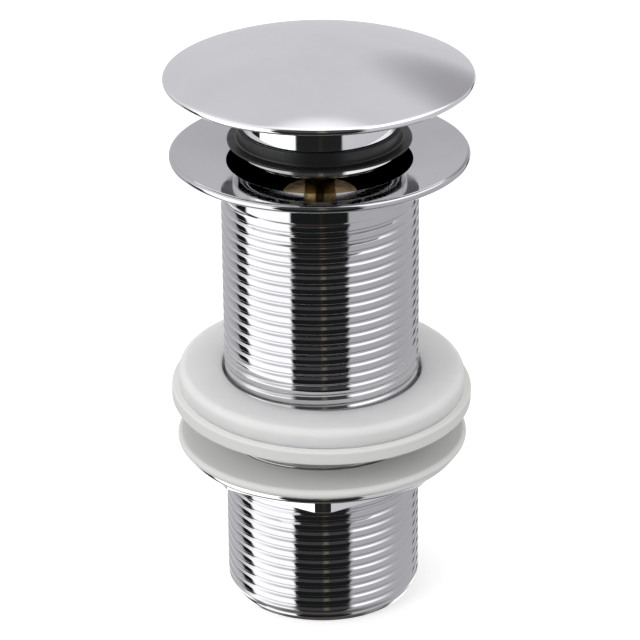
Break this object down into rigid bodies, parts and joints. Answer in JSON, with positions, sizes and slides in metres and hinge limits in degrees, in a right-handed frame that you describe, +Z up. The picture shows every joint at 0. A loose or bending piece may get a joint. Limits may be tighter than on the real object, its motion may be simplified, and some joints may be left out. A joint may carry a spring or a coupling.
{
  "type": "pop up basin waste",
  "caption": "Push-to-close basin waste: domed cap over a flanged threaded tail, with gasket, slip washer and flanged back nut.",
  "frame": {"origin": "centre of the tail's lower end, where the waste stands in the picture", "axes": "+Z up along the tail's axis to the cap; -Y towards the picture's viewer"},
  "size_m": [0.065, 0.065, 0.1263],
  "materials": {
    "chrome": "bright chrome plate on brass",
    "brass": "machined brass",
    "steel": "stainless spring steel",
    "rubber": "moulded black rubber, slightly glossy",
    "fibre": "red fibre washer",
    "acetal": "moulded acetal",
    "silicone": "white silicone, matt",
    "white_plastic": "moulded white polyethylene, satin"
  },
  "bodies": {
    "body": {"waste_body": "chrome", "cross_bridge": "brass", "core_barrel": "brass", "guide_bush": "brass", "track_pin": "steel", "lock_washer": "steel", "lock_nut": "brass", "return_spring": "steel"},
    "plug": {"plug_cap": "chrome", "cap_washer": "fibre", "plug_neck": "chrome", "lip_seal": "rubber", "seal_retainer": "chrome", "push_rod": "brass", "drum_washer": "steel", "rod_clip": "steel"},
    "drum": {"track_drum": "acetal"},
    "washer": {"slip_washer": "white_plastic"},
    "nut": {"back_nut": "chrome"},
    "gasket": {"seat_gasket": "silicone", "gasket_ring": "white_plastic"}
  },
  "joints": [
    {"name": "plug_press", "type": "slide", "parent": "body", "child": "plug", "axis": [0, 0, 1], "range_m": [-0.0145, 0], "stiffness_N_per_m": 600, "springref_m": 0.012, "deforming": ["return_spring"]},
    {"name": "drum_index", "type": "hinge", "parent": "plug", "child": "drum", "pos_m": [0, 0, 0.078], "axis": [0, 0, 1], "range_deg": [-45, 0]},
    {"name": "nut_turn", "type": "hinge", "parent": "washer", "child": "nut", "pos_m": [0, 0, 0.033], "axis": [0, 0, 1], "range_deg": [-3960, 6840]},
    {"name": "washer_slide", "type": "slide", "parent": "body", "child": "washer", "axis": [0, 0, 1], "range_m": [-0.0254, 0.0439]},
    {"name": "gasket_slide", "type": "slide", "parent": "washer", "child": "gasket", "axis": [0, 0, 1], "range_m": [-0.006, 0]}
  ],
  "couplings": [
    {"joint": "drum_index", "follows": "plug_press", "rad_per_m": 54.165},
    {"joint": "washer_slide", "follows": "nut_turn", "m_per_rad": 0.00036749}
  ]
}
